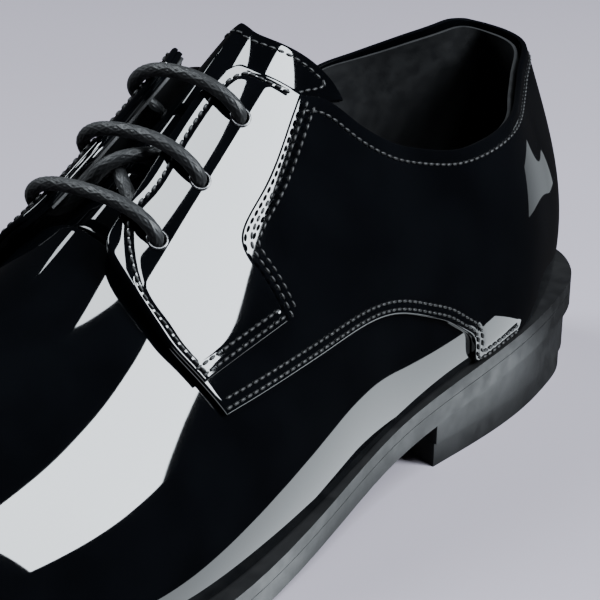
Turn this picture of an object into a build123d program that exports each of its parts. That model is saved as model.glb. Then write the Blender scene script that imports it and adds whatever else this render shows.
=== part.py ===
from build123d import *
import os

import numpy as np

# A derby shoe for the left foot, laced through three pairs of eyelets.
# Millimetres. X runs from the heel to the toe, +Y is the outer (lateral) side, Z is up.
# While the pieces are made, x = 0 lies near the back of the heel and z = 0 is the ground.
# At the end every piece is moved so that the origin is under the middle of the shoe.

# --- sizes that can be set by themselves -------------------------------------------------
LAST_SCALE = 1.0          # size of the foot shape against a 280 mm last
LEATHER = 1.3             # thickness of the vamp and quarter leather
FACING_LEATHER = 1.0      # thickness of the leather laid over each lacing flap
LINING = 0.8              # thickness of the linings
TONGUE_LEATHER = 1.1
TOE_PUFF = 0.9            # stiffener over the toes
COUNTER = 1.1             # stiffener round the heel
LAYER_GAP = 0.15          # glue line between two layers of one body
FLAP_LIFT = 2.3           # how far a lacing flap stands off over the tongue and lace
LACE_DIAMETER = 3.2
EYELET_WALL = 0.2
EYELET_CLEARANCE = 0.2    # between lace and eyelet barrel
INSOLE = 1.6
FILLER = 1.4              # cork between insole and outsole
WELT = 3.1
OUTSOLE = 4.6
HEEL_TOP_PIECE = 6.0      # wearing layer of the heel
SOCK = 1.1
SHANK_WIDTH = 14.0
SHANK_THICKNESS = 0.9
NAIL_DIAMETER = 2.4
NAIL_LENGTH = 15.0
HEEL_BREAST = 90.0        # from the back of the heel to the corners of its front face
BREAST_HOLLOW = 9.0       # how far the middle of that face lies behind its corners
EYELET_S = (4.96, 5.45, 5.95)      # the stations of the eyelets along the instep
EYELET_H = {1: (0.755, 0.772, 0.797), -1: (0.76, 0.775, 0.80)}     # heights of the eyelets on the ribs

# --- the last: ribs from the feather line up to the instep -------------------------------
# station: x, lateral half width, medial half width, height of the feather line
FEATHER = [
    (280, -4, 4, 17.0), (272.5, 15, 19, 15.0), (255, 28, 28, 12.0), (228, 37.5, 36, 9.6),
    (198, 42, 38, 8.4), (168, 40.5, 34.5, 9.8), (138, 36.5, 29.5, 13.2), (108, 32.5, 27.5, 18.0),
    (78, 31.5, 28.5, 22.3), (48, 29.6, 28.5, 25.0), (18, 19.0, 20.5, 26.5), (2.2, 0, 0, 27.0),
]
# the same stations: side bulge out, its rise, shoulder width lateral, medial, shoulder height, top x, y, z
RIBS = [
    (0, 0, 0, 0, 0, 280, 0, 17), (1.5, 10, 9, 11, 33, 272.5, 0, 33), (2.5, 15, 17, 19, 43, 255, 0, 42.5),
    (3.0, 19, 20, 22, 51, 228, 0, 51), (3.0, 22, 19, 20, 61.3, 198, 0, 61.5), (4.0, 27, 16, 14, 77, 168, 0, 78),
    (4.0, 30, 15, 10, 96, 138, 0, 98), (3.5, 32, 17, 13, 103, 112, 2, 113), (3.5, 26, 26, 23, 78, 88, 14, 108),
    (2.8, 20, 28.4, 26.0, 66, 62, 16.5, 108), (3.2, 20, 18.5, 18.5, 66, 38, 3, 108), (0, 20, 0, 0, 66, 23, 0, 108),
]
TOE_STATION = 0.08        # the panels start just behind the very tip
BACK_STATION = len(FEATHER) - 1
HEEL_BULGE_X = (-1.6, 8.0)         # back of the heel, low and high
RIDGE_TURN = (168, 112, -4)        # the toe ridge drifts inwards ahead of the ball


def smooth(x, low, high):
    """0 below low, 1 above high, with an easy curve between."""
    t = min(max((x - low) / (high - low), 0), 1)
    return t * t * (3 - 2 * t)


def spline(rows, start, end):
    """Clamped cubic spline through rows at 0, 1, 2 and so on."""
    rows = np.asarray(rows, float)
    count = len(rows)
    matrix = np.eye(count)
    right = np.zeros_like(rows)
    right[0], right[-1] = start, end
    for i in range(1, count - 1):
        matrix[i, i - 1:i + 2] = (1, 4, 1)
        right[i] = 3 * (rows[i + 1] - rows[i - 1])
    slopes = np.linalg.solve(matrix, right)

    def at(t):
        i = min(max(int(t), 0), count - 2)
        u = t - i
        a, b = 2 * u**3 - 3 * u**2 + 1, u**3 - 2 * u**2 + u
        c, d = -2 * u**3 + 3 * u**2, u**3 - u**2
        return a * rows[i] + b * slopes[i] + c * rows[i + 1] + d * slopes[i + 1]

    return at


def natural(rows):
    """The same spline with its ends following the first and last steps."""
    rows = np.asarray(rows, float)
    return spline(rows, rows[1] - rows[0], rows[-1] - rows[-2])


def last_side(side):
    """The four rows of control points of one side of the last, as splines along the foot."""
    rows = [[], [], [], []]
    for (x, lateral, medial, z), (out, rise, high_l, high_m, high_z, top_x, top_y, top_z) in zip(FEATHER, RIBS):
        wide = lateral if side > 0 else medial
        high = high_l if side > 0 else high_m
        ridge = RIDGE_TURN[2] * max(0, (top_x - RIDGE_TURN[0]) / RIDGE_TURN[1])
        rows[0].append((x, side * wide, z))
        rows[1].append((x, side * (wide + out), z + rise))
        rows[2].append((x, side * high, high_z))
        rows[3].append((top_x, side * top_y + ridge, top_z))
    for row in rows:
        row[0] = (FEATHER[0][0], RIDGE_TURN[2], FEATHER[0][3])
    for row, x in zip(rows[1:3], HEEL_BULGE_X):
        row[-1] = (x, 0, row[-1][2])
    tip = [(0, side * 22, -0.5), (0, side * 24, 9), (0, side * 14, 19), (0, 0, 21)]
    heel = [(0, -side * 30, 0), (0, -side * 32, 0), (0, -side * 28, 0), (0, -side * 20, 0)]
    return [spline(np.array(row) * LAST_SCALE, np.array(a) * LAST_SCALE, np.array(b) * LAST_SCALE)
            for row, a, b in zip(rows, tip, heel)]


SIDES = {1: last_side(1), -1: last_side(-1)}


def last_point(side, s, h):
    """A point of the last: s counts the stations from the toe, h goes up the rib."""
    a, b, c, d = (row(s) for row in SIDES[side])
    return a * (1 - h)**3 + 3 * b * h * (1 - h)**2 + 3 * c * h**2 * (1 - h) + d * h**3


def side_normal(side, s, h):
    """Outward direction worked out on one side of the ridge."""
    step = 0.002
    s = min(max(s, step), BACK_STATION - step)
    h = min(max(h, step), 1 - step)
    along = last_point(side, s + step, h) - last_point(side, s - step, h)
    up = last_point(side, s, h + step) - last_point(side, s, h - step)
    normal = np.cross(along, up) * side
    return normal / np.linalg.norm(normal)


def last_normal(side, s, h):
    """Outward direction: level at the feather line, shared by both sides at the ridge."""
    normal = side_normal(side, s, h)
    normal[2] *= min(1, h / 0.1)
    normal /= np.linalg.norm(normal)
    mix = smooth(h, 0.8, 1.0)
    if mix > 0:
        ridge = side_normal(1, s, 1) + side_normal(-1, s, 1)
        normal = normal * (1 - mix) + ridge / np.linalg.norm(ridge) * mix
    return normal / np.linalg.norm(normal)


def skin(side, s, h, offset):
    """A point of a layer that lies a given distance outside the last."""
    return last_point(side, s, h) + offset * last_normal(side, s, h)


# --- distances of the layers from the last -----------------------------------------------
VAMP_IN = LINING + TOE_PUFF + 4 * LAYER_GAP
VAMP_OUT = VAMP_IN + LEATHER


def quarter_in(s, h):
    """Inside of the quarter: over the vamp wing in front, over the counter behind."""
    over_wing = VAMP_OUT + 2 * LAYER_GAP
    over_counter = LINING + COUNTER + 3 * LAYER_GAP
    base = over_wing + (over_counter - over_wing) * smooth(s, 8.75, 9.6)
    return base + FLAP_LIFT * smooth(h, 0.5, 0.8) * (1 - smooth(s, 6.4, 8.2))


def quarter_out(s, h):
    return quarter_in(s, h) + LEATHER


def facing_out(s, h):
    """Outside of the leather laid over the lacing flap."""
    return quarter_out(s, h) + LAYER_GAP + FACING_LEATHER


def lining_out(s, h):
    """Outside of the quarter lining. It drops under the counter at the heel."""
    return quarter_in(s, h) - LAYER_GAP - (COUNTER + LAYER_GAP) * smooth(s, 8.75, 9.6)


# --- panels as closed solids ------------------------------------------------------------
def bezier_rows(grid, axis):
    """Control points of cubic pieces that pass through every point; a piece spans four points."""
    grid = np.moveaxis(grid, axis, 0)
    rows = [grid[0]]
    for i in range(0, len(grid) - 1, 3):
        a, b, c, d = grid[i:i + 4]
        rows += [(-5 * a + 18 * b - 9 * c + 2 * d) / 6, (2 * a - 9 * b + 18 * c - 5 * d) / 6, d]
    return np.moveaxis(np.array(rows), 0, axis)


def patch(net):
    return Face.make_bezier_surface([[Vector(*p) for p in row] for row in net])


def closed_panel(outer, inner):
    """A solid between two grids of points, as smooth faces with ruled edges."""
    nets = [bezier_rows(bezier_rows(np.array(grid), 0), 1) for grid in (outer, inner)]
    rows, columns = nets[0].shape[:2]
    faces = []
    for net in nets:
        for i in range(0, rows - 1, 3):
            for j in range(0, columns - 1, 3):
                faces.append(patch(net[i:i + 4, j:j + 4]))
    for i in range(0, rows - 1, 3):
        for j in (0, columns - 1):
            faces.append(patch(np.array([net[i:i + 4, j] for net in nets])))
    for j in range(0, columns - 1, 3):
        for i in (0, rows - 1):
            faces.append(patch(np.array([net[i, j:j + 4] for net in nets])))
    solid = Solid(Shell(faces))
    return solid if solid.volume > 0 else Solid(Shell([-face for face in faces]))


def grid_panel(place, low, high, rows, columns):
    """place(u, v) gives side, s and h. low and high give the layer's two distances."""
    outer, inner = [], []
    for i in range(3 * rows + 1):
        spots = [place(i / (3 * rows), j / (3 * columns)) for j in range(3 * columns + 1)]
        outer.append([skin(*spot, high(*spot[1:])) for spot in spots])
        inner.append([skin(*spot, low(*spot[1:])) for spot in spots])
    return closed_panel(outer, inner)


def coons(bottom, top, front, back):
    """Blend four edge curves in (s, h) into a patch: u runs front to back, v bottom to top."""
    def at(u, v):
        edges = (1 - v) * bottom(u) + v * top(u) + (1 - u) * front(v) + u * back(v)
        corners = ((1 - u) * (1 - v) * bottom(0) + u * (1 - v) * bottom(1)
                   + (1 - u) * v * top(0) + u * v * top(1))
        return edges - corners
    return at


def edge_curve(points):
    """A curve through (s, h) points, run from 0 to 1."""
    curve = natural(points)
    return lambda t: curve(t * (len(points) - 1))


def even_curve(points):
    """The same curve, run at an even pace along its stations."""
    curve = edge_curve(points)
    steps = np.linspace(0, 1, 400)
    stations = [curve(t)[0] for t in steps]
    return lambda t: curve(float(np.interp(stations[0] + t * (stations[-1] - stations[0]), stations, steps)))


# edges of the quarter, as stations and heights on the ribs
TOPLINE = {
    1: [(6.48, 0.73), (6.71, 0.687), (6.95, 0.625), (7.2, 0.593), (7.45, 0.592), (7.78, 0.619), (8.17, 0.66),
        (8.46, 0.69), (8.8, 0.717), (9.2, 0.738), (9.8, 0.765), (10.4, 0.80), (BACK_STATION, 0.83)],
    -1: [(6.48, 0.73), (6.8, 0.69), (7.2, 0.66), (7.7, 0.66), (8.2, 0.69), (8.6, 0.735), (8.9, 0.77),
         (9.2, 0.79), (9.6, 0.82), (10.1, 0.845), (10.5, 0.85), (BACK_STATION, 0.83)],
}
FLAP_TOP = {
    1: [(6.05, 0.891), (6.2, 0.87), (6.25, 0.849), (6.34, 0.797), (6.42, 0.756), (6.48, 0.73)],
    -1: [(6.05, 0.90), (6.2, 0.885), (6.25, 0.86), (6.34, 0.80), (6.42, 0.756), (6.48, 0.73)],
}
LACING_EDGE = {
    1: [(4.74, 0.848), (4.87, 0.857), (5.14, 0.868), (5.45, 0.882), (5.77, 0.894), (6.05, 0.891)],
    -1: [(4.74, 0.848), (4.87, 0.862), (5.14, 0.866), (5.45, 0.87), (5.77, 0.885), (6.05, 0.90)],
}
FLAP_FRONT = [(4.73, 0.459), (4.64, 0.55), (4.61, 0.62), (4.615, 0.731), (4.66, 0.816)]
QUARTER_LOW = [(4.83, 0.369), (5.17, 0.348), (5.63, 0.323), (6.15, 0.296), (6.71, 0.267), (7.1, 0.239),
               (7.38, 0.213), (7.65, 0.184), (7.88, 0.141), (8.04, 0.086), (8.15, 0.0), (8.7, 0.0),
               (9.5, 0.0), (BACK_STATION, 0.0)]
FACING_BACK = [(5.62, 0.42), (5.56, 0.52), (5.53, 0.61), (5.84, 0.643), (6.15, 0.678), (6.48, 0.73)]
FACING_LOW = [(4.73, 0.459), (5.17, 0.44), (5.62, 0.42)]
WING_BACK = [(8.8, 0.0), (8.5, 0.13), (7.9, 0.28), (6.6, 0.37), (5.45, 0.45), (4.9, 0.56),
             (4.76, 0.7), (4.75, 0.85), (4.75, 1.0)]
TONGUE_ROOT = 4.79
TONGUE_HALF = [(0, 0.33), (0.2, 0.33), (0.33, 0.27), (0.64, 0.27), (0.9, 0.32), (1, 0.32)]
PANEL_INSET = 0.012       # the linings stop a little inside the panel they follow


def lacing_h(side, s):
    """Height of the lacing edge at a station."""
    stations, heights = zip(*LACING_EDGE[side])
    return float(np.interp(s, stations, heights))


def tongue_half(u):
    """Half width of the tongue, in rib heights, from its root to its top."""
    places, widths = zip(*TONGUE_HALF)
    return float(np.interp(u, places, widths))


def arch_place(start, reach, back, crowd=1):
    """Places over the arch, from the lateral side over the ridge to the medial one."""
    def at(u, v):
        across = (reach(u) if callable(reach) else reach) * (1 - 2 * v)
        side = 1 if across >= 0 else -1
        h = 1 - abs(across)
        return side, start + (back(h) - start) * u**crowd, h
    return at


def wing_edge(h):
    """Station of the vamp's back edge at a height."""
    points = np.array(WING_BACK)
    return float(np.interp(h, points[:, 1], points[:, 0]))


def vamp_panel():
    place = arch_place(TOE_STATION, 1, wing_edge, 1.5)
    return grid_panel(place, lambda s, h: VAMP_IN, lambda s, h: VAMP_OUT, 10, 12)


def vamp_lining_panel():
    place = arch_place(TOE_STATION, 1, lambda h: wing_edge(h) - 0.06, 1.5)
    return grid_panel(place, lambda s, h: 0.05, lambda s, h: LINING, 10, 12)


def toe_puff_panel():
    low = LINING + LAYER_GAP
    place = arch_place(TOE_STATION + 0.02, 0.96, lambda h: 1.9)
    return grid_panel(place, lambda s, h: low, lambda s, h: low + TOE_PUFF, 4, 8)


def on_panel(side, spot):
    """A place of a panel, kept above the feather line."""
    return side, min(spot[0], BACK_STATION), max(spot[1], 0)


def quarter_panel(side):
    back = edge_curve([(BACK_STATION, 0.0), (BACK_STATION, 0.4), TOPLINE[side][-1]])
    front = edge_curve(QUARTER_LOW[:1] + FLAP_FRONT + LACING_EDGE[side])
    at = coons(edge_curve(QUARTER_LOW), edge_curve(FLAP_TOP[side][:-1] + TOPLINE[side]), front, back)
    return grid_panel(lambda u, v: on_panel(side, at(u, v)), quarter_in, quarter_out, 14, 7)


def quarter_lining_panel(side):
    wing = [(s + 0.12, h) for s, h in WING_BACK if h <= 0.7][::-1]
    corner = (4.87, lacing_h(side, 4.87) - PANEL_INSET)
    lacing = [(s, h - PANEL_INSET) for s, h in LACING_EDGE[side][2:]]
    over = [(s, h - PANEL_INSET) for s, h in FLAP_TOP[side][1:-1] + TOPLINE[side]]
    back = edge_curve([(BACK_STATION, 0.0), (BACK_STATION, 0.4), over[-1]])
    low = even_curve(wing + [(9.5, 0.0), (10.2, 0.0), (BACK_STATION, 0.0)])
    at = coons(low, even_curve([corner] + lacing + over), edge_curve([wing[0], corner]), back)
    inside = lambda s, h: lining_out(s, h) - LINING
    return grid_panel(lambda u, v: on_panel(side, at(u, v)), inside, lining_out, 12, 6)


def facing_panel(side):
    low = lambda s, h: quarter_out(s, h) + LAYER_GAP
    front = edge_curve(FLAP_FRONT + LACING_EDGE[side])
    at = coons(edge_curve(FACING_LOW), edge_curve(FLAP_TOP[side]), front, edge_curve(FACING_BACK))
    return grid_panel(lambda u, v: (side, *at(u, v)), low, facing_out, 4, 8)


def counter_panel():
    low = lambda s, h: lining_out(s, h) + LAYER_GAP

    def place(u, v):
        across = 1 - 2 * u
        side = 1 if across >= 0 else -1
        return side, BACK_STATION - 1.3 * abs(across), 0.03 + 0.6 * v

    return grid_panel(place, low, lambda s, h: low(s, h) + COUNTER, 8, 3)


def tongue_edge(h):
    """Station of the top edge of the tongue."""
    return 6.6 + 0.45 * smooth(1 - h, 0.05, 0.32)


def tongue_panel(low, high):
    place = arch_place(TONGUE_ROOT, tongue_half, tongue_edge)
    return grid_panel(place, lambda s, h: low, lambda s, h: high, 6, 6)


# --- sole pieces: outlines in plan, cut from bands that follow the feather line ------------
def side_curve(drop):
    """The feather line seen from the side, under the outside of the vamp, lowered."""
    edge = [skin(side, s, 0, VAMP_OUT) for s in range(BACK_STATION + 1) for side in (1, -1)]
    points = []
    for lateral, medial in zip(edge[::2], edge[1::2]):
        x, _, z = (lateral + medial) / 2
        points.append((x, z - drop))
    first, end = points[0], points[-1]
    steep = (first[1] - points[1][1]) / (first[0] - points[1][0])
    return [(first[0] + 20, first[1] + 20 * steep)] + points + [(end[0] - 20, end[1] + 0.4)]


def outline(grow_heel, grow_waist, grow_ball, lip=0):
    """Plan outline round the feather line, grown by different widths along the foot."""
    grow = edge_curve([(0, grow_ball), (2, grow_ball), (4.3, grow_ball), (6.4, grow_waist),
                       (8, grow_heel), (BACK_STATION, grow_heel)])
    table = np.array([grow(t) for t in np.linspace(0, 1, 41)])

    def spot(side, s):
        normal = last_normal(side, s, 0)
        width = float(np.interp(s, table[:, 0], table[:, 1]))
        corner = max(0, 1 - abs(s - 10)) * (1 if side > 0 else 0.5) + 0.25 * max(0, s - 10)
        return tuple((last_point(side, s, 0) + (width + lip * corner) * normal)[:2])

    lateral = [spot(1, s) for s in (0.02, 0.5, 1, 2, 3, 4, 5, 6, 7, 8, 9, 9.6, 10, 10.35, 10.7, BACK_STATION)]
    medial = [spot(-1, s) for s in (10.7, 10.35, 10, 9.6, 9, 8, 7, 6, 5, 4, 3, 2, 1, 0.5)]
    return lateral + medial


def layer(high, low, points, hole=None):
    """A sole layer between two drops below the feather line, inside an outline."""
    with BuildPart() as piece:
        with BuildSketch(Plane.XZ.offset(-100)):
            with BuildLine():
                over = side_curve(high)
                under = side_curve(low)
                Spline(*over)
                Spline(*under)
                Line(over[0], under[0])
                Line(over[-1], under[-1])
            make_face()
        extrude(amount=200)
        with BuildSketch():
            with BuildLine():
                Spline(*points, periodic=True)
            make_face()
            if hole:
                with BuildLine():
                    Spline(*hole, periodic=True)
                make_face(mode=Mode.SUBTRACT)
        extrude(amount=100, mode=Mode.INTERSECT)
    return piece.part


INSOLE_TOP = 0.45
INSOLE_LOW = INSOLE_TOP + INSOLE
FILLER_TOP = INSOLE_LOW + LAYER_GAP
FILLER_LOW = FILLER_TOP + FILLER
WELT_LOW = max(WELT, FILLER_LOW)
OUTSOLE_TOP = WELT_LOW + LAYER_GAP
OUTSOLE_LOW = OUTSOLE_TOP + OUTSOLE
HEEL_LIP = 3.0            # extra width of the sole at the back corner of the heel
INSOLE_EDGE = outline(-0.6, -0.6, -0.6)
WELT_INNER = outline(-0.3, -0.3, -0.3)
SOLE_EDGE = outline(VAMP_OUT + 2.2, VAMP_OUT + 1.6, VAMP_OUT + 4.2, HEEL_LIP)
HEEL_EDGE = outline(VAMP_OUT + 0.8, VAMP_OUT, VAMP_OUT, HEEL_LIP)
TOP_PIECE_EDGE = outline(VAMP_OUT + 0.2, VAMP_OUT - 0.6, VAMP_OUT - 0.6, HEEL_LIP)
SOCK_EDGE = outline(-1.0, -1.0, -1.0)


def heel_layer(points, low, high):
    """A level slice of the heel with its hollow front face."""
    half = 35 * LAST_SCALE
    radius = (half**2 + BREAST_HOLLOW**2) / (2 * BREAST_HOLLOW)
    with BuildPart() as piece:
        with BuildSketch(Plane.XY.offset(low)):
            with BuildLine():
                Spline(*points, periodic=True)
            make_face()
            with Locations((HEEL_BREAST + 150, 0)):
                Rectangle(300, 200, mode=Mode.SUBTRACT)
            with Locations((HEEL_BREAST - BREAST_HOLLOW + radius, 0)):
                Circle(radius, mode=Mode.SUBTRACT)
        extrude(amount=high - low)
    return piece.part


NAIL_SPOTS = [(16, 0), (26, 14), (26, -14), (52, 16), (52, -16)]


def nail_top(x):
    """Height of the underside of the insole above a place in the heel."""
    xs = [row[0] * LAST_SCALE for row in FEATHER][::-1]
    zs = [row[3] * LAST_SCALE for row in FEATHER][::-1]
    return float(np.interp(x, xs, zs)) - FILLER_TOP - 0.1


def nails(diameter, extra):
    """The heel nails, or with some extra size the holes for them."""
    with BuildPart() as group:
        for x, y in NAIL_SPOTS:
            with Locations((x, y, nail_top(x) - NAIL_LENGTH)):
                Cylinder(diameter / 2, NAIL_LENGTH + extra, align=(Align.CENTER, Align.CENTER, Align.MIN))
    return group.part


def eyelet_plane(side, s, h):
    """Plane on the outside of the facing at an eyelet, looking outwards."""
    origin = skin(side, s, h, facing_out(s, h))
    return Plane(origin=Vector(*origin), z_dir=Vector(*last_normal(side, s, h)))


EYELET_BORE = LACE_DIAMETER / 2 + EYELET_CLEARANCE
EYELET_BARREL = EYELET_BORE + EYELET_WALL
EYELET_FLANGE = 0.4
FLAP_STACK = FACING_LEATHER + LEATHER + LINING + 2 * LAYER_GAP


def eyelet_holes(side):
    """Plugs that cut the eyelet holes of one side."""
    with BuildPart() as plugs:
        for s, h in zip(EYELET_S, EYELET_H[side]):
            with BuildSketch(eyelet_plane(side, s, h).offset(2)):
                Circle(EYELET_BARREL + 0.05)
            extrude(amount=-(FLAP_STACK + 3))
    return plugs.part


def eyelet_group(side):
    """Three rolled eyelets: a barrel through the flap with a rounded rim outside."""
    with BuildPart() as group:
        for s, h in zip(EYELET_S, EYELET_H[side]):
            plane = eyelet_plane(side, s, h).offset(0.1)
            with BuildSketch(plane):
                Circle(EYELET_BARREL)
                Circle(EYELET_BORE, mode=Mode.SUBTRACT)
            extrude(amount=-(FLAP_STACK + 0.05))
            with BuildSketch(plane):
                Circle(EYELET_BARREL + EYELET_FLANGE)
                Circle(EYELET_BORE, mode=Mode.SUBTRACT)
            extrude(amount=RIM_HEIGHT - 0.1)
    return group.part


pieces = {}


def keep(name, part):
    """Remembers a finished piece under its name."""
    pieces[name] = part


# --- lace: one cord through all six eyelets, both ends tucked inside -------------------------
RIM_HEIGHT = 0.3
EDGE_TURN = 2.6           # bend of the lace over a lacing edge
BAR_TURN = 1.9            # bend of the lace where it leaves an eyelet
UNDER_TURN = 1.75         # bend of the lace under the flap
EASY_TURN = 6.0           # bends elsewhere, where the runs are long enough
TONGUE_LOW = 0.1
TONGUE_TOP = TONGUE_LOW + TONGUE_LEATHER
LACE_UNDER = (TONGUE_TOP + lining_out(5.45, 0.8) - LINING) / 2 - 0.05
BESIDE_TONGUE = 2.6
RIDGE_UNDER = LACE_UNDER + 0.7
LACE_CROSS = RIDGE_UNDER + LACE_DIAMETER + 1.2
EDGE_UNDER = LACE_UNDER + 0.25
INSIDE = lining_out(7.0, 0.5) - LINING - LACE_DIAMETER / 2 - 0.35
TIP_LENGTH = 16.0
TIP_DIAMETER = 3.4


def bar(side, number):
    """Spots of one visible bar with the passages through its two eyelets, starting on the given side."""
    s = EYELET_S[number]
    ends = []
    for here in (side, -side):
        h, edge = EYELET_H[here][number], lacing_h(here, s)
        over_rim = facing_out(s, h) + RIM_HEIGHT + LACE_DIAMETER / 2 + 0.55
        over_edge = facing_out(s, edge) + LACE_DIAMETER / 2 + 0.65
        ends.append([(here, s, h, LACE_UNDER, UNDER_TURN), (here, s, h, over_rim, BAR_TURN),
                     (here, s, edge, over_edge, EDGE_TURN)])
    return ends[0] + ends[1][::-1]


def tucked_end(side, first):
    """Spots that lead an end out from under the flap and down along the quarter lining."""
    inner = [(6.35, 0.655, 1.8), (6.75, 0.59, INSIDE - 0.6), (7.3, 0.47, INSIDE - 1.6)]
    return [(side, *spot, EASY_TURN) for spot in first + inner]


def under_edge(side, s):
    """A spot below the lacing edge, between tongue and lining."""
    return (side, s, lacing_h(side, s), EDGE_UNDER, EASY_TURN)


def crossing(start, end, middle):
    """The lower strand over the tongue, from the medial side to the lateral one."""
    half = (RIDGE_UNDER + EDGE_UNDER) / 2
    spots = [(-1, (start + middle) / 2, 0.935, half), (1, middle, 1, RIDGE_UNDER), (1, (middle + end) / 2, 0.935, half)]
    return [under_edge(-1, start)] + [(*spot, EASY_TURN) for spot in spots] + [under_edge(1, end)]


def lace_spots():
    low, middle, top = EYELET_S
    cross = (low + middle) / 2
    spots = tucked_end(1, [(5.60, 0.745, 3.25), (5.71, 0.70, 2.75), (6.05, 0.69, BESIDE_TONGUE)])[::-1]
    spots += bar(1, 1)
    spots += crossing(cross + 0.13, cross - 0.13, cross)
    spots += bar(1, 0)
    spots += [under_edge(-1, cross - 0.13), (1, cross, 1, LACE_CROSS, EASY_TURN), under_edge(1, cross + 0.3)]
    spots += bar(1, 2)
    spots += tucked_end(-1, [(6.05, 0.75, LACE_UNDER), (6.17, 0.69, BESIDE_TONGUE)])
    return spots


def bend(before, corner, after, cap):
    """Radius at a corner: as large as its runs leave room for, up to the cap."""
    runs = [np.linalg.norm(before - corner), np.linalg.norm(after - corner)]
    inward, outward = (before - corner) / runs[0], (after - corner) / runs[1]
    half_turn = (np.pi - np.arccos(np.clip(inward @ outward, -1, 1))) / 2
    return min(cap, 0.45 * min(runs) / np.tan(max(half_turn, 0.01)))


def cord(points, caps, diameter):
    """A round cord along straight runs joined by arcs."""
    radii = [bend(*points[i - 1:i + 2], caps[i]) for i in range(1, len(points) - 1)]
    with BuildPart() as piece:
        with BuildLine() as route:
            FilletPolyline(*[tuple(point) for point in points], radius=radii)
        with BuildSketch(route.wires()[0] ^ 0):
            Circle(diameter / 2)
        sweep(path=route.wires()[0])
    length = route.wires()[0].length
    print("cord length", round(length, 1), "least bend", round(min(radii), 2),
          "fill", round(piece.part.volume / (length * np.pi * diameter**2 / 4), 4))
    return piece.part


# --- upper --------------------------------------------------------------------------------
with BuildPart() as vamp:
    add(vamp_panel())
keep("vamp", vamp.part)

with BuildPart() as vamp_lining:
    add(vamp_lining_panel())
keep("vamp_lining", vamp_lining.part)

with BuildPart() as toe_puff:
    add(toe_puff_panel())
keep("toe_puff", toe_puff.part)

with BuildPart() as heel_counter:
    add(counter_panel())
keep("heel_counter", heel_counter.part)

for side, word in ((1, "lateral"), (-1, "medial")):
    with BuildPart() as quarter:
        add(quarter_panel(side))
        add(eyelet_holes(side), mode=Mode.SUBTRACT)
    keep("quarter_" + word, quarter.part)

    with BuildPart() as facing:
        add(facing_panel(side))
        add(eyelet_holes(side), mode=Mode.SUBTRACT)
    keep("facing_" + word, facing.part)

    with BuildPart() as quarter_lining:
        add(quarter_lining_panel(side))
        add(eyelet_holes(side), mode=Mode.SUBTRACT)
    keep("quarter_lining_" + word, quarter_lining.part)

    keep("eyelets_" + word, eyelet_group(side))

# --- lace ---------------------------------------------------------------------------------
spots = lace_spots()
route_points = [skin(*spot[:4]) for spot in spots]
keep("lace", cord(route_points, [spot[4] for spot in spots], LACE_DIAMETER))

with BuildPart() as lace_tips:
    for end, before in ((route_points[0], route_points[1]), (route_points[-1], route_points[-2])):
        along = (end - before) / np.linalg.norm(end - before)
        with BuildSketch(Plane(origin=Vector(*(end + 0.1 * along)), z_dir=Vector(*along))):
            Circle(TIP_DIAMETER / 2)
        extrude(amount=TIP_LENGTH)
keep("lace_tips", lace_tips.part)

# --- tongue -------------------------------------------------------------------------------
with BuildPart() as tongue:
    add(tongue_panel(TONGUE_LOW, TONGUE_TOP))
keep("tongue", tongue.part)

with BuildPart() as tongue_lining:
    add(tongue_panel(TONGUE_LOW - LAYER_GAP - LINING, TONGUE_LOW - LAYER_GAP))
keep("tongue_lining", tongue_lining.part)

# --- sole ---------------------------------------------------------------------------------
with BuildPart() as shank:
    with BuildSketch(Plane.XZ.offset(-SHANK_WIDTH / 2)):
        with BuildLine():
            middle = FILLER_TOP + (FILLER - SHANK_THICKNESS) / 2
            stations = [row for row in FEATHER if 48 <= row[0] <= 138]
            over = [(x * LAST_SCALE, z * LAST_SCALE - middle) for x, _, _, z in stations]
            under = [(x, z - SHANK_THICKNESS) for x, z in over]
            Spline(*over)
            Spline(*under)
            Line(over[0], under[0])
            Line(over[-1], under[-1])
        make_face()
    extrude(amount=SHANK_WIDTH)
keep("shank", shank.part)

with BuildPart() as insole:
    add(layer(INSOLE_TOP, INSOLE_LOW, INSOLE_EDGE))
keep("insole", insole.part)

with BuildPart() as cork_filler:
    add(layer(FILLER_TOP, FILLER_LOW, INSOLE_EDGE))
    with BuildSketch(Plane.XZ.offset(-SHANK_WIDTH / 2 - 0.2)):
        with BuildLine():
            Spline(*[(x, z + 0.1) for x, z in over])
            Spline(*[(x, z - 0.1) for x, z in under])
            Line((over[0][0], over[0][1] + 0.1), (under[0][0], under[0][1] - 0.1))
            Line((over[-1][0], over[-1][1] + 0.1), (under[-1][0], under[-1][1] - 0.1))
        make_face()
    extrude(amount=SHANK_WIDTH + 0.4, mode=Mode.SUBTRACT)
    add(nails(NAIL_DIAMETER + 0.1, 8), mode=Mode.SUBTRACT)
keep("cork_filler", cork_filler.part)

with BuildPart() as welt:
    add(layer(INSOLE_TOP, WELT_LOW, SOLE_EDGE, WELT_INNER))
keep("welt", welt.part)

with BuildPart() as outsole:
    add(layer(OUTSOLE_TOP, OUTSOLE_LOW, SOLE_EDGE))
    add(nails(NAIL_DIAMETER + 0.1, 8), mode=Mode.SUBTRACT)
keep("outsole", outsole.part)

with BuildPart() as sock_lining:
    add(layer(-SOCK - 0.05, -0.05, SOCK_EDGE))
keep("sock_lining", sock_lining.part)

with BuildPart() as heel_block:
    add(heel_layer(HEEL_EDGE, HEEL_TOP_PIECE + LAYER_GAP, 40))
    add(layer(OUTSOLE_LOW + LAYER_GAP - 60, OUTSOLE_LOW + LAYER_GAP, outline(12, 12, 12)), mode=Mode.SUBTRACT)
    add(nails(NAIL_DIAMETER + 0.1, 8), mode=Mode.SUBTRACT)
keep("heel_block", heel_block.part)

with BuildPart() as heel_top_piece:
    add(heel_layer(TOP_PIECE_EDGE, 0, HEEL_TOP_PIECE))
keep("heel_top_piece", heel_top_piece.part)

keep("heel_nails", nails(NAIL_DIAMETER, 0))

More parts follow.
